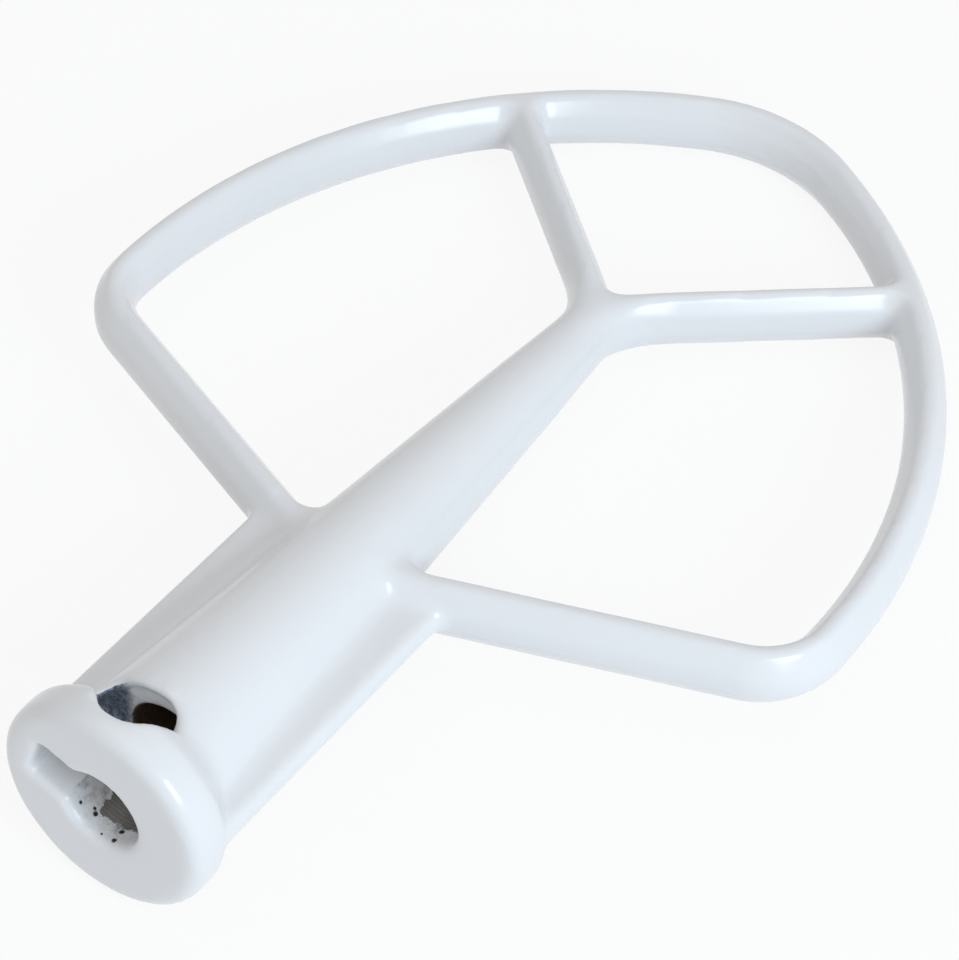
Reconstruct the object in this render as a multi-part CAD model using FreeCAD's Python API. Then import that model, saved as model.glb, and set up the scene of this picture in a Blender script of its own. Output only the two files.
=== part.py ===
import FreeCAD, Part
import math
import os

Vector = FreeCAD.Vector

# Stand mixer flat beater: one aluminium casting under a white baked coat.
# While it is built, Y runs along the shaft from the collar's face to the far end of the hoop,
# X runs across the hoop and Z stands square to it. At the end the casting is tilted to lie on a table.

# Hoop: the outer rim and the two arms, one bar bent round and bevelled like a roof above and below
hoop_length = 185.7
bar_width = 6.6
bar_depth = 10.8
bar_bevel_across = 2.35
bar_bevel_down = 3.6
bar_ridge_round = 0.75
bar_side_round = 3.0
apex_radius = 27.5
apex_half_angle = 27.6
side_radius = 98.3
corner_radius = 12.0
arm_root_along = 54.9
arm_angle = 21.15
arm_root_round = 4.0

# Fork: the two legs that carry the shaft out to the rim
fork_along = 126.8
leg_width = 5.9
leg_angle = 49.2
leg_end_round = 1.2
fork_flare_round = 20.0
crotch_round = 1.2

# Shaft: a tapered round core, with a thin web on each side between collar and arms
core_radius_at_collar = 13.0
core_radius_at_fork = 4.65
core_tip_overrun = 2.0
spine_inset = 1.6
arm_blend_round = 2.5
fork_blend_round = 3.0
web_half_width = 17.3
web_thickness = 4.5
web_edge_round = 1.6
web_valley_round = 2.4

# Collar: a flat disc with a rounded front, and a sloping back that runs out into the core
collar_radius = 17.8
collar_thickness = 5.2
collar_front_round = 2.4
collar_back_round = 3.0
collar_flare_angle = 45.0
collar_flare_round = 6.0

# Drive socket: bore, keyway for the drive pin, and the bayonet channel behind the collar
bore_radius = 6.6
bore_depth = 34.0
keyway_width = 7.6
keyway_reach = 12.2
keyway_angle = 164.0
keyway_end_round = 1.2
keyway_corner_round = 1.5
mouth_round = 1.2
channel_start = 6.7
channel_end = 16.0
channel_reach = 10.8
lock_angle = 87.0

# Locking window: a teardrop opening in the shaft's upper side, over the channel
window_far_along = 14.5
window_lock_radius = 5.2
window_lock_across = -0.3
window_lead_radius = 2.7
window_lead_across = -6.2
window_floor = 3.0
window_lip_round = 1.0

# Two places closer than this count as the same place
touch = 1e-3

origin = Vector(0, 0, 0)
across = Vector(1, 0, 0)
along = Vector(0, 1, 0)
upward = Vector(0, 0, 1)


def cosine(degrees):
    return math.cos(math.radians(degrees))


def sine(degrees):
    return math.sin(math.radians(degrees))


def plan(x, y):
    return Vector(x, y, 0)


def disc_direction(degrees):
    """Unit direction square to the shaft, counted from +X towards +Z."""
    return Vector(cosine(degrees), 0, sine(degrees))


def mirrored(point):
    return Vector(-point.x, point.y, point.z)


def left_of(direction):
    """The plan direction a quarter turn to the left."""
    return Vector(-direction.y, direction.x, 0)


def line_meets_line(point, direction, other_point, other_direction):
    normal = left_of(other_direction)
    travel = (other_point - point).dot(normal) / direction.dot(normal)
    return point + direction * travel


def line_meets_circle(point, direction, centre, radius):
    """The further of the two points where a line crosses a circle."""
    offset = point - centre
    advance = offset.dot(direction)
    root = math.sqrt(advance * advance - offset.dot(offset) + radius * radius)
    return point + direction * (root - advance)


def arc_about(centre, radius, start, end):
    """The short arc of a circle between the directions of two points."""
    first = (start - centre).normalize()
    last = (end - centre).normalize()
    middle = (first + last).normalize()
    return Part.Arc(centre + first * radius, centre + middle * radius, centre + last * radius).toShape()


def upright_prism(edges, depth):
    """A plan outline pulled up into a prism that is centred on the hoop's plane."""
    face = Part.Face(Part.Wire(Part.__sortEdges__(edges)))
    face.translate(upward * (-depth / 2))
    return face.extrude(upward * depth)


def polygon_edges(points):
    return list(Part.makePolygon(points + [points[0]]).Edges)


def middle_of(edge):
    return edge.valueAt((edge.FirstParameter + edge.LastParameter) / 2)


def runs_along(edge, direction):
    return abs(edge.tangentAt(edge.FirstParameter).dot(direction)) > 1 - touch


def edges_at(solid, height):
    """The edges that lie flat at a height above or below the hoop's plane."""
    return [edge for edge in solid.Edges if abs(abs(edge.CenterOfMass.z) - height) < touch]


def distance_off_axis(point):
    return math.hypot(point.x, point.z)


def core_radius(distance):
    """Radius of the tapered core at a distance from the collar's face."""
    share = (distance - collar_thickness) / (fork_along - collar_thickness)
    return core_radius_at_collar + (core_radius_at_fork - core_radius_at_collar) * share


def on_core(point):
    return abs(distance_off_axis(point) - core_radius(point.y)) < touch


def round_uprights(solid, places, radius):
    """Rounds the upright edges of a prism that stand at the given plan points."""
    uprights = [edge for edge in solid.Edges if runs_along(edge, upward)]
    chosen = []
    for place in places:
        chosen.append(min(uprights, key=lambda edge: plan(*middle_of(edge)[:2]).distanceToPoint(place)))
    return solid.makeFillet(radius, chosen)


# Centreline of the hoop's right half: apex arc, side arc and corner arc, then the straight arm
apex_centre = plan(0, hoop_length - bar_width / 2 - apex_radius)
apex_end_direction = plan(sine(apex_half_angle), cosine(apex_half_angle))
apex_end = apex_centre + apex_end_direction * apex_radius
side_centre = apex_centre + apex_end_direction * (apex_radius - side_radius)
arm_root = plan(0, arm_root_along)
arm_direction = plan(cosine(arm_angle), sine(arm_angle))
arm_inward = left_of(arm_direction)
corner_centre = line_meets_circle(
    arm_root + arm_inward * corner_radius, arm_direction, side_centre, side_radius - corner_radius)
corner_start = side_centre + (corner_centre - side_centre).normalize() * side_radius
corner_end = corner_centre - arm_inward * corner_radius


def hoop_loop(offset):
    """The closed outline that runs beside the centreline, outside it for a positive offset."""
    top = apex_centre + along * (apex_radius + offset)
    bottom = arm_root - along * (offset / cosine(arm_angle))
    right_half = [
        arc_about(apex_centre, apex_radius + offset, top, apex_end),
        arc_about(side_centre, side_radius + offset, apex_end, corner_start),
        arc_about(corner_centre, corner_radius + offset, corner_start, corner_end),
        Part.makeLine(corner_end - arm_inward * offset, bottom),
    ]
    return right_half + [edge.mirror(origin, across) for edge in right_half]


def make_hoop():
    """Rim, arms and fork as one frame, with bars that are bevelled like a roof above and below."""
    half_bar = bar_width / 2
    half_leg = leg_width / 2
    ring = upright_prism(hoop_loop(half_bar), bar_depth).cut(upright_prism(hoop_loop(-half_bar), bar_depth))

    fork = plan(0, fork_along)
    leg_direction = plan(sine(leg_angle), cosine(leg_angle))
    leg_inward = left_of(leg_direction)
    leg_end = line_meets_circle(fork, leg_direction, side_centre, side_radius)
    upper_side = fork + leg_inward * half_leg
    lower_side = fork - leg_inward * half_leg
    leg_span = leg_end - fork
    leg = upright_prism(
        polygon_edges([upper_side, upper_side + leg_span, lower_side + leg_span, lower_side]), bar_depth)

    spine_start = plan(core_radius(arm_root_along) - spine_inset, arm_root_along)
    spine_end = plan(core_radius(fork_along) - spine_inset, fork_along)
    spine_direction = (spine_end - spine_start).normalize()
    spine = upright_prism(
        polygon_edges([spine_start, spine_end, mirrored(spine_end), mirrored(spine_start)]), bar_depth)
    frame = ring.fuse([leg, leg.mirror(origin, across), spine]).removeSplitter()

    flare_corner = line_meets_line(spine_start, spine_direction, lower_side, leg_direction)
    frame = round_uprights(frame, [flare_corner, mirrored(flare_corner)], fork_flare_round)
    arm_corner = line_meets_line(spine_start, spine_direction, arm_root + arm_inward * half_bar, arm_direction)
    nose = arm_root - along * (half_bar / cosine(arm_angle))
    frame = round_uprights(frame, [arm_corner, mirrored(arm_corner), nose], arm_root_round)
    crotch = fork + along * (half_leg / sine(leg_angle))
    frame = round_uprights(frame, [crotch], crotch_round)
    rim_corners = []
    for side in (upper_side, lower_side):
        corner = line_meets_circle(side, leg_direction, side_centre, side_radius - half_bar)
        rim_corners += [corner, mirrored(corner)]
    frame = round_uprights(frame, rim_corners, leg_end_round)

    flats_first = sorted(frame.Faces, key=lambda face: -abs(face.normalAt(0, 0).z))
    frame = Part.Solid(Part.Shell(flats_first))
    frame = frame.makeChamfer(bar_bevel_across, bar_bevel_down, edges_at(frame, bar_depth / 2))
    frame = frame.makeFillet(bar_side_round, edges_at(frame, bar_depth / 2 - bar_bevel_down))
    return frame.makeFillet(bar_ridge_round, edges_at(frame, bar_depth / 2))


def make_hub():
    """The tapered core with a thin web on each side, from inside the collar to the fork."""
    tip = fork_along + core_tip_overrun
    core = Part.makeCone(core_radius(0), core_radius(tip), tip, origin, along)
    core.rotate(origin, along, 180)
    web_start = plan(web_half_width, collar_thickness / 2)
    web_end = line_meets_line(web_start, along, arm_root, arm_direction)
    outline = [web_start, web_end, arm_root, mirrored(web_end), mirrored(web_start)]
    web = upright_prism(polygon_edges(outline), web_thickness)
    web = web.makeFillet(web_edge_round, [edge for edge in web.Edges if runs_along(edge, along)])
    hub = core.fuse(web).removeSplitter()
    valleys = []
    for edge in hub.Edges:
        middle = middle_of(edge)
        on_web = abs(abs(middle.z) - web_thickness / 2) < touch
        if on_web and on_core(middle):
            valleys.append(edge)
    return hub.makeFillet(web_valley_round, valleys)


def make_collar():
    """The round collar, turned about the shaft's axis."""
    taper = (core_radius_at_collar - core_radius_at_fork) / (fork_along - collar_thickness)
    taper_angle = math.degrees(math.atan(taper))
    front_centre = plan(collar_radius - collar_front_round, collar_front_round)
    front_start = front_centre - along * collar_front_round
    front_end = front_centre + across * collar_front_round
    back_centre = plan(collar_radius - collar_back_round, collar_thickness)
    back_start = back_centre + across * collar_back_round
    slope_out = plan(cosine(collar_flare_angle), sine(collar_flare_angle))
    slope_start = back_centre + slope_out * collar_back_round
    core_out = plan(cosine(taper_angle), sine(taper_angle))
    core_start = plan(core_radius_at_collar, collar_thickness)
    flare_centre = line_meets_line(
        slope_start + slope_out * collar_flare_round, left_of(slope_out),
        core_start + core_out * collar_flare_round, left_of(core_out))
    flare_start = flare_centre - slope_out * collar_flare_round
    flare_end = flare_centre - core_out * collar_flare_round
    axis_end = plan(0, flare_end.y)
    profile = Part.Wire([
        Part.makeLine(origin, front_start),
        arc_about(front_centre, collar_front_round, front_start, front_end),
        Part.makeLine(front_end, back_start),
        arc_about(back_centre, collar_back_round, back_start, slope_start),
        Part.makeLine(slope_start, flare_start),
        arc_about(flare_centre, collar_flare_round, flare_start, flare_end),
        Part.makeLine(flare_end, axis_end),
        Part.makeLine(axis_end, origin),
    ])
    return Part.Face(profile).revolve(origin, along, 360)


def blend_junctions(casting):
    """Fillets where the arms and then the fork grow out of the core."""
    halfway = (arm_root_along + fork_along) / 2
    stretches = (
        (arm_root_along, halfway, arm_blend_round),
        (halfway, hoop_length, fork_blend_round),
    )
    for lowest, highest, radius in stretches:
        seams = []
        for edge in casting.Edges:
            middle = middle_of(edge)
            beside_axis = abs(middle.x) > touch
            if on_core(middle) and beside_axis and lowest < middle.y < highest:
                seams.append(edge)
        casting = casting.makeFillet(radius, seams)
    return casting


def make_keyhole():
    """Bore and keyway as one solid, with eased corners where the keyway leaves the bore."""
    half = keyway_width / 2
    bore = Part.makeCylinder(bore_radius, channel_end, origin, along)
    keyway = Part.makeBox(keyway_reach, channel_end, keyway_width, upward * -half)
    end_edges = []
    for edge in keyway.Edges:
        if runs_along(edge, along) and middle_of(edge).x > bore_radius:
            end_edges.append(edge)
    keyway = keyway.makeFillet(keyway_end_round, end_edges)
    keyhole = bore.fuse(keyway).removeSplitter()
    corner_across = math.sqrt(bore_radius ** 2 - half ** 2)
    corners = []
    for edge in keyhole.Edges:
        middle = middle_of(edge)
        if abs(middle.x - corner_across) < touch and abs(abs(middle.z) - half) < touch:
            corners.append(edge)
    keyhole = keyhole.makeFillet(keyway_corner_round, corners)
    keyhole.rotate(origin, along, -keyway_angle)
    return keyhole


def make_channel():
    """The sector that the drive pin sweeps behind the collar as the beater is turned to lock."""
    pin_half_turn = math.degrees(math.asin(keyway_width / 2 / channel_reach))
    sweep = keyway_angle - lock_angle + 2 * pin_half_turn
    near = along * channel_start
    far = along * channel_end
    reach = disc_direction(lock_angle - pin_half_turn) * channel_reach
    section = Part.Face(Part.Wire(polygon_edges([near, near + reach, far + reach, far])))
    return section.revolve(origin, along, -sweep)


def make_window():
    """The teardrop that opens the channel upwards, wide at the lock and narrow at the lead-in."""
    lock = plan(window_lock_across, window_far_along - window_lock_radius)
    lead = plan(window_lead_across, window_far_along - window_lead_radius)
    span = lead - lock
    lean = math.degrees(math.asin((window_lock_radius - window_lead_radius) / span.Length))
    heading = math.degrees(math.atan2(span.y, span.x))
    ends = []
    for turn in (90 - lean, lean - 90):
        away = plan(cosine(heading + turn), sine(heading + turn))
        ends.append((lock + away * window_lock_radius, lead + away * window_lead_radius))
    (lock_left, lead_left), (lock_right, lead_right) = ends
    forward = span.normalize()
    outline = Part.Wire([
        Part.makeLine(lock_left, lead_left),
        Part.Arc(lead_left, lead + forward * window_lead_radius, lead_right).toShape(),
        Part.makeLine(lead_right, lock_right),
        Part.Arc(lock_right, lock - forward * window_lock_radius, lock_left).toShape(),
    ])
    face = Part.Face(outline)
    face.translate(upward * window_floor)
    return face.extrude(upward * collar_radius)


def cut_socket(casting):
    """Cuts the drive socket, then rounds its mouth and the lip of the window."""
    deep_bore = Part.makeCylinder(bore_radius, bore_depth, origin, along)
    window = make_window()
    casting = casting.cut(make_keyhole().fuse([deep_bore, make_channel(), window]).removeSplitter())
    flat_radius = collar_radius - collar_front_round
    window_sides = Part.Shell([face for face in window.Faces if abs(face.normalAt(0, 0).z) < touch])
    mouth = []
    lip = []
    for edge in casting.Edges:
        middle = middle_of(edge)
        if edge.BoundBox.YMax < touch and middle.Length < flat_radius - touch:
            mouth.append(edge)
        on_outside = distance_off_axis(middle) > core_radius(middle.y) - touch
        above_floor = middle.z > window_floor and middle.y < bore_depth
        if on_outside and above_floor and not runs_along(edge, upward):
            if window_sides.distToShape(Part.Vertex(middle))[0] < touch:
                lip.append(edge)
    return casting.makeFillet(mouth_round, mouth).makeFillet(window_lip_round, lip)


def lie_down(casting):
    """Tilts the casting until collar and hoop both touch the table, and centres it above the origin."""
    collar_across = collar_radius - collar_back_round
    bevel_angle = math.atan2(bar_bevel_down, bar_bevel_across)
    hoop_across = bar_depth / 2 - bar_ridge_round
    hoop_along = hoop_length - bar_bevel_across - bar_ridge_round * math.tan(bevel_angle / 2)
    run = hoop_along - collar_thickness
    drop = collar_across - hoop_across
    tilt = math.atan2(drop, run) + math.asin((collar_back_round - bar_ridge_round) / math.hypot(run, drop))
    depth = collar_thickness * math.sin(tilt) + collar_across * math.cos(tilt) + collar_back_round
    front_across = collar_radius - collar_front_round
    nearest = collar_front_round * math.cos(tilt) - front_across * math.sin(tilt) - collar_front_round
    side_across = bar_depth / 2 - bar_bevel_down - bar_side_round * math.tan(math.pi / 4 - bevel_angle / 2)
    side_along = hoop_length - bar_side_round
    farthest = side_along * math.cos(tilt) + side_across * math.sin(tilt) + bar_side_round
    casting.rotate(origin, across, -math.degrees(tilt))
    casting.translate(Vector(0, -(nearest + farthest) / 2, depth))
    return casting


hoop = make_hoop()
hub = make_hub()
collar = make_collar()
beater = hoop.fuse([hub, collar]).removeSplitter()
beater = blend_junctions(beater)
beater = cut_socket(beater)
beater = lie_down(beater.Solids[0])

os.makedirs("parts", exist_ok=True)
beater.exportStep("parts/flat_beater.step")
print("flat_beater valid", beater.isValid(), "volume in cubic millimetres", round(beater.Volume))
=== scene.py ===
# %% [markdown]
# # A white coated flat beater
# The real part is one aluminium casting with a thick baked coat: a hoop, two arms, two forked
# legs, a tapered shaft and a collar with a bayonet socket. The CAD model already has its shape
# and size, so this lesson is about the finish and the light. The frame comes first, because
# every piece has to stay where the CAD model says.

# %% Load the CAD frame
import math

import bmesh
import bpy
from mathutils import Matrix, Vector


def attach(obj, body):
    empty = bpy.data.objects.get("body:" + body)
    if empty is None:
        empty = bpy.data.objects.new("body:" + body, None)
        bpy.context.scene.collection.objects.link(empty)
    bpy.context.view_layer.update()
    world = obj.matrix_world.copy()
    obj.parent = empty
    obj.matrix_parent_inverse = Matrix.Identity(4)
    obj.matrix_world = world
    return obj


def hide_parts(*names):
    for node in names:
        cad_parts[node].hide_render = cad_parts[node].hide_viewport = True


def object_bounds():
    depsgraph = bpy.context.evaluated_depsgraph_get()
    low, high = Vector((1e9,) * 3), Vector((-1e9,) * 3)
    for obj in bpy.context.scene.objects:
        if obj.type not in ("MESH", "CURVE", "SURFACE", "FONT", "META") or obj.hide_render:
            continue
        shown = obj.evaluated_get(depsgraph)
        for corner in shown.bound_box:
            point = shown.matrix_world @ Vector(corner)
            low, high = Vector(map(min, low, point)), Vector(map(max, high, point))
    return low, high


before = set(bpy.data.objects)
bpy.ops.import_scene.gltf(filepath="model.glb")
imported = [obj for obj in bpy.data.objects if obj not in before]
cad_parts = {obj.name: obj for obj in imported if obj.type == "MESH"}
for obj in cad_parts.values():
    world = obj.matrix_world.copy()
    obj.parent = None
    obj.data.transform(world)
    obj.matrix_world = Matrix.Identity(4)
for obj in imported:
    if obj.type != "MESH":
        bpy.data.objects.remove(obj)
cad_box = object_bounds()
mm = 0.001
print("CAD box in mm:", [[round(value / mm, 2) for value in corner] for corner in cad_box])

# %% [markdown]
# ## Places along the shaft
# The beater lies on its collar and its far end, so its shaft slopes by a few degrees. Everything
# is easier to say along the shaft: y is the distance behind the collar's face, and x and z run
# across the bore. The same turn is used here on points and later in the finish.

# %% Turn a place into the shaft's directions
COLLAR_CENTRE = Vector((0.0, -92.121, 18.126)) * mm
SHAFT_TILT = math.radians(3.9924)
along_shaft = Matrix.Rotation(SHAFT_TILT, 3, "X")


def shaft_place(point):
    """A point of the model in mm along the shaft's own directions."""
    return along_shaft @ (point - COLLAR_CENTRE) / mm


def model_point(place):
    """The point of the model at a place that is given along the shaft, in mm."""
    return along_shaft.transposed() @ place * mm + COLLAR_CENTRE


far_end = Vector((0.0, cad_box[1][1], 5.0 * mm))
print("far end of the hoop, along the shaft:", round(shaft_place(far_end).y, 1), "mm")

# %% [markdown]
# ## The casting
# The hoop, legs, shaft and collar were poured in one go, so they are one mesh here too. The CAD
# mesh has every form, but its edges are as crisp as the drawing. On the real part a thick coat
# melted over them and pulled itself smooth. A copy of the CAD mesh is therefore rebuilt in even
# cells, and then relaxed, as the coat did in the oven. Rounding each edge by hand would take
# fewer faces, but where arms, fork and shaft meet it would look patched.

# %% Copy the casting and close its seams
casting = bpy.data.objects.new("coated_beater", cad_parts["flat_beater"].data.copy())
bpy.context.scene.collection.objects.link(casting)
casting.data.materials.clear()

shell = bmesh.new()
shell.from_mesh(casting.data)
bmesh.ops.remove_doubles(shell, verts=shell.verts, dist=0.002 * mm)
print("closed copy:", len(shell.verts), "points,", len(shell.faces), "faces")

# %% [markdown]
# Behind the collar the CAD model's keyway ends too close under the shaft's skin: the wall is very
# thin there, with a small slit that the real casting does not have. A curved plate just under the
# skin makes the wall 1 mm thick. It only has to overlap the casting, because the rebuild fuses the
# two. The plate is a row of four-cornered sections, turned around the shaft's axis.

# %% Mend the thin wall
SHAFT_FOOT = 5.2
SHAFT_FOOT_RADIUS = 13.0
SHAFT_FORK = 126.8
SHAFT_FORK_RADIUS = 4.65
WALL_ANGLES = [143, 148, 153, 158, 163, 168, 172]
WALL_STRETCH = (8.5, 17.0)
WALL_THICKNESS = 1.0
WALL_COVER = 0.05


def core_radius(along):
    """Radius of the tapered shaft in mm, at a distance behind the collar's face."""
    narrowing = (SHAFT_FOOT_RADIUS - SHAFT_FORK_RADIUS) / (SHAFT_FORK - SHAFT_FOOT)
    return SHAFT_FOOT_RADIUS - (along - SHAFT_FOOT) * narrowing


sections = []
for angle in WALL_ANGLES:
    away = Vector((math.cos(math.radians(angle)), 0.0, math.sin(math.radians(angle))))
    section = []
    for along, depth in zip(
        WALL_STRETCH + WALL_STRETCH[::-1],
        (WALL_THICKNESS, WALL_THICKNESS, WALL_COVER, WALL_COVER),
    ):
        corner = away * (core_radius(along) - depth) + Vector((0.0, along, 0.0))
        section.append(shell.verts.new(model_point(corner)))
    sections.append(section)

plate = [shell.faces.new(sections[0]), shell.faces.new(sections[-1][::-1])]
for section, following in zip(sections, sections[1:]):
    for side in range(4):
        after = (side + 1) % 4
        plate.append(shell.faces.new((section[side], following[side], following[after], section[after])))
bmesh.ops.recalc_face_normals(shell, faces=plate)
shell.to_mesh(casting.data)
shell.free()
print("plate under the skin:", len(plate), "faces")

# %% Rebuild the casting in even cells
CELL = 0.65 * mm


def bake_modifiers(thing):
    """Swaps an object's mesh for the one that its modifiers give."""
    relaxed = thing.evaluated_get(bpy.context.evaluated_depsgraph_get())
    made = bpy.data.meshes.new_from_object(relaxed)
    thing.modifiers.clear()
    thing.data = made


cells = casting.modifiers.new("even_cells", "REMESH")
cells.mode = "VOXEL"
cells.voxel_size = CELL
bake_modifiers(casting)
print("casting:", len(casting.data.vertices), "points,", len(casting.data.polygons), "faces")

# %% [markdown]
# Weights steer the flow. It is weak around the socket, where the coat is thin and edges stay
# clear. At the fork, in the valleys beside the webs and around the lip of the locking window it
# runs on for longer, because there the coat fills the corners. Each share is 0 at the limits
# named here and rises over a few millimetres inside them, so no step shows.

# %% Let the coat flow
COAT_ROUNDS = 6
CORNER_ROUNDS = 40
SOCKET_SHARE = 0.25
SOCKET_FRONT = 20.0
SOCKET_REACH = 13.2
FORK = Vector((0.0, 121.0, 0.0))
FORK_REACH = 15.0
WEB_STRETCH = (12.0, 62.0)
WEB_ACROSS = (6.5, 15.2)
WINDOW_STRETCH = (8.5, 18.0)
WINDOW_RADII = (9.8, 14.5)
WINDOW_FLOOR = 5.0


def corner_share(place):
    """How far the coat fills a corner at a place along the shaft, as a share of 1."""
    off_axis = math.hypot(place.x, place.z)
    near_fork = (FORK_REACH - (place - FORK).length) / 6.0
    near_web = min(
        (place.y - WEB_STRETCH[0]) / 6.0,
        (WEB_STRETCH[1] - place.y) / 8.0,
        abs(place.x) - WEB_ACROSS[0],
        (WEB_ACROSS[1] - abs(place.x)) / 1.5,
    )
    near_window = min(
        place.y - WINDOW_STRETCH[0],
        WINDOW_STRETCH[1] - place.y,
        off_axis - WINDOW_RADII[0],
        WINDOW_RADII[1] - off_axis,
        place.z - WINDOW_FLOOR,
    )
    return min(1.0, max(0.0, near_fork, near_web, near_window))


coat_flow = casting.vertex_groups.new(name="coat_flow")
corner_flow = casting.vertex_groups.new(name="corner_flow")
for point in casting.data.vertices:
    place = shaft_place(point.co)
    in_socket = place.y < SOCKET_FRONT and math.hypot(place.x, place.z) < SOCKET_REACH
    coat_flow.add([point.index], SOCKET_SHARE if in_socket else 1.0, "REPLACE")
    if corner_share(place) > 0.0:
        corner_flow.add([point.index], corner_share(place), "REPLACE")

for group, rounds in ((coat_flow, COAT_ROUNDS), (corner_flow, CORNER_ROUNDS)):
    flow = casting.modifiers.new(group.name, "SMOOTH")
    flow.factor = 0.5
    flow.iterations = rounds
    flow.vertex_group = group.name
bake_modifiers(casting)
casting.data.shade_smooth()
print("height after the flow:", round(max(point.co.z for point in casting.data.vertices) / mm, 2), "mm")

# %% [markdown]
# ## Finding the socket
# Walls of the socket are the faces close to the axis that do not look straight away from it.
# They get a finish of their own, so they are sorted out by place. The outermost 0.3 mm stays with
# the coat.

# %% Sort out the socket's walls
SOCKET_DEPTH = 34.5
KEYWAY_REACH = 12.6
SKIN = 0.3
STRAIGHT_AWAY = 0.5

walls = 0
for face in casting.data.polygons:
    place = shaft_place(face.center)
    outward = Vector((place.x, 0.0, place.z))
    reach = min(KEYWAY_REACH, core_radius(place.y) - SKIN)
    if SKIN < place.y < SOCKET_DEPTH and outward.length < reach:
        looks_out = (along_shaft @ face.normal).dot(outward.normalized())
        if looks_out < STRAIGHT_AWAY:
            face.material_index = 1
            walls += 1
print("faces on the socket's walls:", walls)

# %% [markdown]
# ## Helpers for finishes
# Colours are written as sRGB hex, as a paint chart gives them, and turned to linear light in one
# place. Every node is added by one function, which sets its options and joins its inputs. A few
# short names on top of it stand for the nodes that come up again and again, so a finish reads
# from top to bottom like a recipe.

# %% Colour and node helpers
def linear(hex_code):
    """Linear colour from an sRGB hex code."""
    shares = [int(hex_code[place:place + 2], 16) / 255 for place in (1, 3, 5)]
    bent = [share / 12.92 if share <= 0.04045 else ((share + 0.055) / 1.055) ** 2.4 for share in shares]
    return bent + [1.0]


def add(tree, kind, inputs, **settings):
    """Adds a node, sets its options, and fills or links its inputs."""
    made = tree.nodes.new(kind)
    for name, value in settings.items():
        setattr(made, name, value)
    for name, value in inputs.items():
        if isinstance(value, bpy.types.NodeSocket):
            tree.links.new(value, made.inputs[name])
        else:
            made.inputs[name].default_value = value
    return made


def start_finish(name):
    """A material with an empty tree and the object's own coordinates."""
    finish = bpy.data.materials.new(name)
    finish.use_nodes = True
    finish.node_tree.nodes.clear()
    place = add(finish.node_tree, "ShaderNodeTexCoord", {}).outputs["Object"]
    return finish, finish.node_tree, place


print("coat white in linear light:", [round(value, 3) for value in linear("#EFEFF0")[:3]])

# %% Short names for common nodes
def noise(tree, place, size, detail, roughness=0.5):
    """A noise pattern with features of about the given size."""
    inputs = {"Vector": place, "Scale": 1 / size, "Detail": detail, "Roughness": roughness}
    return add(tree, "ShaderNodeTexNoise", inputs).outputs["Fac"]


def spread(tree, value, start, end, low=0.0, high=1.0, curve="LINEAR"):
    """Runs from low to high while a value runs from start to end, and stops at both."""
    inputs = {"Value": value, "From Min": start, "From Max": end, "To Min": low, "To Max": high}
    return add(tree, "ShaderNodeMapRange", inputs, interpolation_type=curve).outputs["Result"]


def maths(tree, operation, *values):
    """The result of one sum on sockets and numbers."""
    return add(tree, "ShaderNodeMath", dict(enumerate(values)), operation=operation).outputs["Value"]


def blend(tree, share, first, second):
    """A colour between two others, which are sockets or hex codes."""
    ends = [linear(colour) if isinstance(colour, str) else colour for colour in (first, second)]
    return add(tree, "ShaderNodeMix", {0: share, 6: ends[0], 7: ends[1]}, data_type="RGBA").outputs[2]


def seen_rays(tree):
    """1 for rays that show the surface to the camera, straight, in a mirror or through glass."""
    rays = add(tree, "ShaderNodeLightPath", {}).outputs
    mirrored = maths(tree, "MAXIMUM", rays["Is Camera Ray"], rays["Is Glossy Ray"])
    return maths(tree, "MAXIMUM", mirrored, rays["Is Transmission Ray"])


print("short names for noise, ranges, sums and colour mixes are ready")

# %% [markdown]
# ## Baked white enamel
# The coat is a powder that melts in the oven and flows. It is glossy without being a mirror, a
# nearly neutral white, and it keeps a faint orange peel from the powder grains, about 2.5 mm from
# crest to crest. A second, wide pattern lets the white drift a little, because the coat is not
# equally thick everywhere. The recipe is a function, because the socket's finish starts from it
# too.

# %% Recipe of the coat
def coat_recipe(tree, place):
    """Colour, roughness and height of the coat, as three sockets."""
    colour = blend(tree, noise(tree, place, 40 * mm, 3.0), "#EFEFF0", "#E6E7E8")
    roughness = spread(tree, noise(tree, place, 9 * mm, 4.0), 0.3, 0.7, 0.17, 0.25)
    peel = noise(tree, place, 2.5 * mm, 1.0)
    return colour, roughness, peel


enamel, tree, place = start_finish("baked_white_enamel")
colour, roughness, peel = coat_recipe(tree, place)
relief = add(tree, "ShaderNodeBump", {"Height": peel, "Strength": 0.25, "Distance": 0.03 * mm})
surface = add(
    tree, "ShaderNodeBsdfPrincipled",
    {"Base Color": colour, "Roughness": roughness, "IOR": 1.5, "Normal": relief.outputs["Normal"]},
)
add(tree, "ShaderNodeOutputMaterial", {"Surface": surface.outputs["BSDF"]})
casting.data.materials.append(enamel)
print("finish:", enamel.name, "with", len(tree.nodes), "nodes")

# %% [markdown]
# ## Enamel worn to aluminium
# Powder reaches only a few millimetres into the socket. The bore behind it is turned metal, grey
# brown, and it turns darker and browner with depth. The edge of the coat is ragged, with
# pinholes where it did not stick, and their near-black colour is painted shade. In the locking
# window one wall was never coated and still has the dark, grainy skin of the casting. All of this
# could be separate pieces, but coat and metal are one surface, so masks by place mix the two in a
# single finish.

# %% Shaft places for the finish
socket_finish, tree, place = start_finish("enamel_worn_to_aluminium")
colour, roughness, _ = coat_recipe(tree, place)

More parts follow.
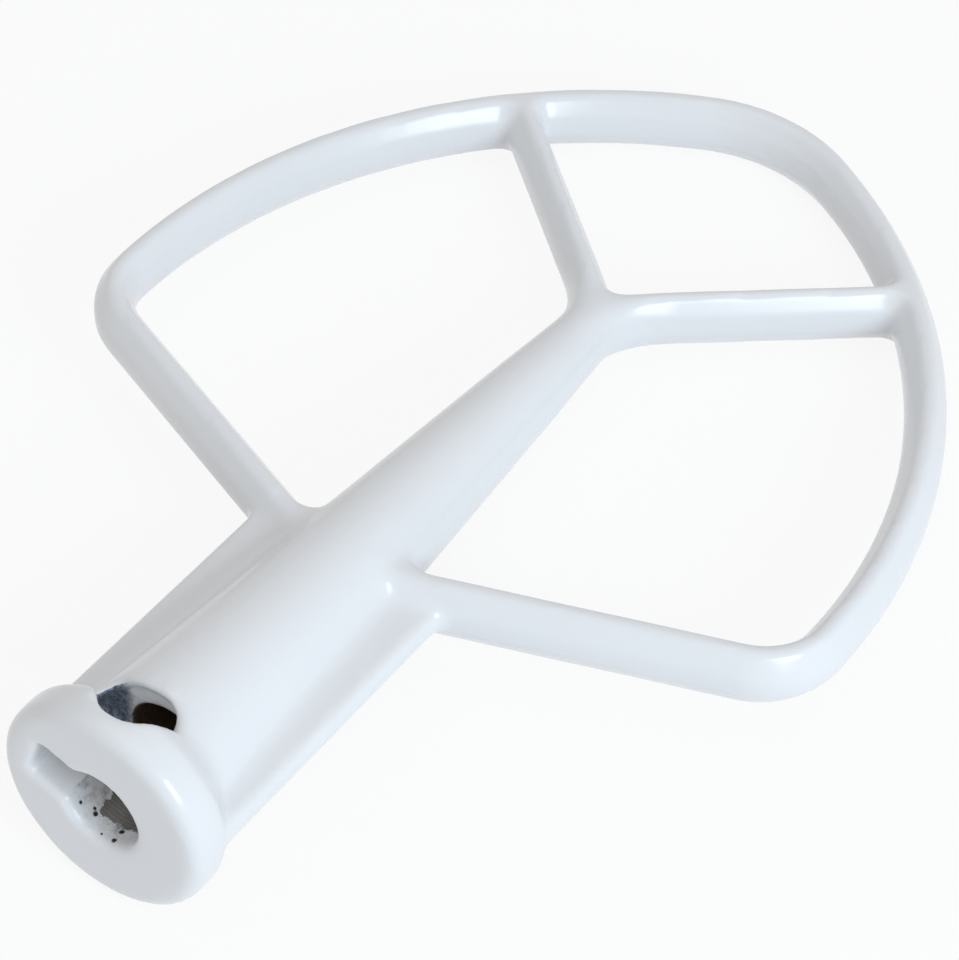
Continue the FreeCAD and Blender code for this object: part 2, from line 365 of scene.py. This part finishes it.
moved = add(tree, "ShaderNodeVectorMath", {0: place, 1: COLLAR_CENTRE}, operation="SUBTRACT")
turned = add(
    tree, "ShaderNodeVectorRotate",
    {"Vector": moved.outputs["Vector"], "Angle": SHAFT_TILT},
    rotation_type="X_AXIS",
)
scaled = add(tree, "ShaderNodeVectorMath", {0: turned.outputs["Vector"], "Scale": 1 / mm}, operation="SCALE")
shaft_mm = scaled.outputs["Vector"]
parts = add(tree, "ShaderNodeSeparateXYZ", {"Vector": shaft_mm})
across, depth = parts.outputs["X"], parts.outputs["Y"]
flattened = add(tree, "ShaderNodeVectorMath", {0: shaft_mm, 1: (1.0, 0.0, 1.0)}, operation="MULTIPLY")
flat_mm = flattened.outputs["Vector"]
off_axis = add(tree, "ShaderNodeVectorMath", {0: flat_mm}, operation="LENGTH").outputs["Value"]
crumbs = noise(tree, shaft_mm, 0.9, 4.0, 0.6)
print("places in the socket run from 0 to", SOCKET_DEPTH, "mm")

# %% [markdown]
# The bore is bare beyond a ragged line about 4 mm deep. Beside the keyway the spray came in
# further, so there the line moves back. Pinholes sit in the coat just inside the mouth as dips in
# the relief, and their near-black colour is painted shade.

# %% Mask of the bare bore
COAT_DEPTH = 4.0
SPRAY_DEPTH = 9.0
PINHOLES = [((-5.2, 2.5, -4.1), 0.30), ((-3.7, 3.7, -5.5), 0.30), ((-3.1, 3.2, -5.8), 0.33),
            ((1.6, 3.3, -6.4), 0.42), ((1.7, 1.5, -6.4), 0.36), ((-0.6, 1.4, -6.6), 0.20)]

ragged = maths(tree, "MULTIPLY_ADD", crumbs, 2.4, -1.2)
ragged_across = maths(tree, "MULTIPLY_ADD", ragged, 0.8, across)
coat_end = spread(tree, ragged_across, -2.8, -3.8, COAT_DEPTH, SPRAY_DEPTH, "SMOOTHSTEP")
past_coat = maths(tree, "SUBTRACT", maths(tree, "ADD", depth, ragged), coat_end)
on_bore = spread(tree, off_axis, 7.0, 6.8)
bare_bore = maths(tree, "MULTIPLY", spread(tree, past_coat, -0.12, 0.12), on_bore)

# pinhole mask: a dip in the relief, and near-black painted shade inside the holes
pinholes_with_painted_shade = 0.0
for centre, radius in PINHOLES:
    span = add(tree, "ShaderNodeVectorMath", {0: shaft_mm, 1: centre}, operation="DISTANCE")
    uneven = maths(tree, "MULTIPLY_ADD", ragged, 0.25, span.outputs["Value"])
    pinholes_with_painted_shade = maths(tree, "MAXIMUM", pinholes_with_painted_shade, spread(tree, uneven, radius * 1.25, radius * 0.75))
print("pinholes:", len(PINHOLES))

# %% [markdown]
# Towards the ragged line the coat gets thin, and the grey of the metal shows through in patches
# about 1.6 mm wide.

# %% Thin coat
patches = spread(tree, noise(tree, shaft_mm, 1.6, 4.0, 0.65), 0.46, 0.66)
thinning = maths(tree, "MULTIPLY", spread(tree, depth, 1.2, 3.5, 0.0, 0.75), on_bore)
coat_colour = blend(tree, maths(tree, "MULTIPLY", thinning, patches), colour, "#8F969C")
print("coat thins out towards", COAT_DEPTH, "mm")

# %% [markdown]
# The casting's raw skin shows on the window's left wall. Its grains are about 0.7 mm, dark blue
# grey with lighter tips where the sand let go. It ends below the window's lip, which the coat has
# covered. The lip is found by the way the surface looks: away from the shaft's axis.

# %% Mask of the raw skin
raw_line = maths(tree, "MULTIPLY_ADD", ragged, 0.9, across)
raw_across = spread(tree, raw_line, -6.3, -7.7)
raw_deep = spread(tree, depth, 8.0, 8.6)
axis_away = add(tree, "ShaderNodeVectorMath", {0: flat_mm}, operation="NORMALIZE").outputs["Vector"]
facing = add(tree, "ShaderNodeNewGeometry", {}).outputs["Normal"]
lip = add(tree, "ShaderNodeVectorMath", {0: facing, 1: axis_away}, operation="DOT_PRODUCT")
lip_line = maths(tree, "MULTIPLY_ADD", ragged, 0.25, lip.outputs["Value"])
raw_below_lip = spread(tree, lip_line, 0.22, 0.12)
raw_skin = maths(tree, "MULTIPLY", maths(tree, "MULTIPLY", raw_across, raw_deep), raw_below_lip)

bare_metal = maths(tree, "MAXIMUM", bare_bore, raw_skin)
bare = maths(tree, "MAXIMUM", bare_metal, pinholes_with_painted_shade)
grains = spread(tree, noise(tree, shaft_mm, 0.7, 3.0, 0.7), 0.4, 0.68)
skin_colour = blend(tree, grains, "#566273", "#A9B3C0")
print("raw skin mixed from two greys")

# %% [markdown]
# The turned wall keeps fine rings from the cutting tool. Rings of 0.25 mm would be too fine to
# show, so they are drawn about 0.6 mm apart. From 6 mm deep the metal is drawn darker and browner
# with depth, and the lack of light does the rest.

# %% Turned wall
tool_rings = add(
    tree, "ShaderNodeTexWave",
    {"Vector": shaft_mm, "Scale": 0.5, "Distortion": 1.5, "Detail": 2.0, "Detail Scale": 2.0},
    bands_direction="Y",
)
turned_colour = blend(tree, tool_rings.outputs["Fac"], "#7B7975", "#888681")
# the turned metal is drawn darker and browner from 6 to 15 mm deep
darker_with_depth = spread(tree, depth, 6.0, 15.0, curve="SMOOTHSTEP")
bore_colour = blend(tree, darker_with_depth, turned_colour, "#6E5746")
print("turned wall: grease begins 6 mm deep")

# %% [markdown]
# The masks now choose between coat, skin, turned wall and the painted shade of the pinholes. The
# same share of bare metal also sets roughness and metal, and the coat's thickness stands up as a
# small step in the relief.

# %% Mixed finish of the socket
metal_colour = blend(tree, raw_skin, bore_colour, skin_colour)
# painted shade: the pinholes are drawn near black
painted_pinhole_shade_colour = blend(tree, pinholes_with_painted_shade, metal_colour, "#24211E")
mixed_colour = blend(tree, bare, coat_colour, painted_pinhole_shade_colour)
mixed_roughness = add(tree, "ShaderNodeMix", {0: bare, 2: roughness, 3: 0.5}).outputs[0]
metal_share = maths(tree, "MULTIPLY", bare_metal, 0.4)

coat_step = maths(tree, "SUBTRACT", 1.0, bare)
height = maths(tree, "MULTIPLY_ADD", crumbs, 0.8, coat_step)
relief = add(tree, "ShaderNodeBump", {"Height": height, "Strength": 0.6, "Distance": 0.25 * mm})
surface = add(
    tree, "ShaderNodeBsdfPrincipled",
    {"Base Color": mixed_colour, "Roughness": mixed_roughness, "Metallic": metal_share,
     "IOR": 1.5, "Normal": relief.outputs["Normal"]},
)
add(tree, "ShaderNodeOutputMaterial", {"Surface": surface.outputs["BSDF"]})
casting.data.materials.append(socket_finish)
print("finish:", socket_finish.name, "with", len(tree.nodes), "nodes")

# %% [markdown]
# ## Floor, backdrop and light
# The beater lies on a plain pale sheet in a light room. One soft lamp stands on the right, a
# little cooler than the room, and a wide, weak one hangs overhead. The room fills the rest, so
# the shaded sides stay light. Rays from the camera see the sheet almost white, but part of its
# real shading is kept as a shadow.

# %% Floor sheet
SHEET_SIZE = 8.0
SHEET_WHITENESS = 0.88
bpy.ops.mesh.primitive_plane_add(size=SHEET_SIZE, location=(0.0, 0.0, 0.0))
sheet = bpy.context.object
sheet.name = "floor_sheet"
sheet_finish, tree, place = start_finish("matt_white_paper")
paper = blend(tree, noise(tree, place, 6 * mm, 3.0), "#F4F4F4", "#F0F0F0")
matt = add(tree, "ShaderNodeBsdfDiffuse", {"Color": paper}).outputs["BSDF"]
glow = add(tree, "ShaderNodeEmission", {"Color": (1.0, 1.0, 1.0, 1.0), "Strength": 1.0}).outputs["Emission"]
whiteness = maths(tree, "MULTIPLY", seen_rays(tree), SHEET_WHITENESS)
shown = add(tree, "ShaderNodeMixShader", {0: whiteness, 1: matt, 2: glow})
add(tree, "ShaderNodeOutputMaterial", {"Surface": shown.outputs["Shader"]})
sheet.data.materials.append(sheet_finish)
print("floor sheet:", sheet.dimensions[:2])

# %% Room light
ROOM_LEVEL = 0.54
room = bpy.data.worlds.new("light_room")
bpy.context.scene.world = room
room.use_nodes = True
tree = room.node_tree
tree.nodes.clear()
level = add(tree, "ShaderNodeMix", {0: seen_rays(tree), 2: ROOM_LEVEL, 3: 1.0}).outputs[0]
air = add(tree, "ShaderNodeBackground", {"Color": (1.0, 1.0, 1.0, 1.0), "Strength": level})
add(tree, "ShaderNodeOutputWorld", {"Surface": air.outputs["Background"]})
print("room light level:", ROOM_LEVEL)

# %% Lamps
BEATER_MIDDLE = Vector((0.0, 0.0, 0.015))


def soft_lamp(name, location, size, power, colour):
    """A square soft box that looks at the beater."""
    data = bpy.data.lights.new(name, "AREA")
    data.size = size
    data.energy = power
    data.color = linear(colour)[:3]
    lamp = bpy.data.objects.new(name, data)
    lamp.location = location
    lamp.rotation_euler = (BEATER_MIDDLE - lamp.location).to_track_quat("-Z", "Y").to_euler()
    bpy.context.scene.collection.objects.link(lamp)
    print(name, "gives", power, "W from a box", size, "m wide")


soft_lamp("window_side", (0.62, -0.20, 0.38), 0.30, 2.8, "#DCEEFD")
soft_lamp("overhead", (-0.10, 0.0, 1.20), 1.00, 1.2, "#F6F9FF")

# %% [markdown]
# ## Camera
# The photograph was taken from the front right and above, with a long lens. Position, aim, lens
# and roll come from fitting the hoop and the collar to the picture.

# %% Camera
camera_data = bpy.data.cameras.new("photo_camera")
camera_data.lens = 129.04
camera_data.sensor_width = 36.0
camera_data.clip_start = 0.01
camera = bpy.data.objects.new("photo_camera", camera_data)
camera.location = (0.1978956, -0.2919317, 0.4123355)
aim = Vector((0.005103, -0.006572, 0.012)) - camera.location
level_view = aim.to_track_quat("-Z", "Y").to_matrix()
camera.rotation_euler = (level_view @ Matrix.Rotation(math.radians(1.349), 3, "Z")).to_euler()
bpy.context.scene.collection.objects.link(camera)
bpy.context.scene.camera = camera
bpy.context.scene.view_settings.view_transform = "Standard"
print("camera turned to", [round(math.degrees(angle), 3) for angle in camera.rotation_euler])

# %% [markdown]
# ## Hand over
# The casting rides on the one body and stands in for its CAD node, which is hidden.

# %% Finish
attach(casting, "root")
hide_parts("flat_beater")
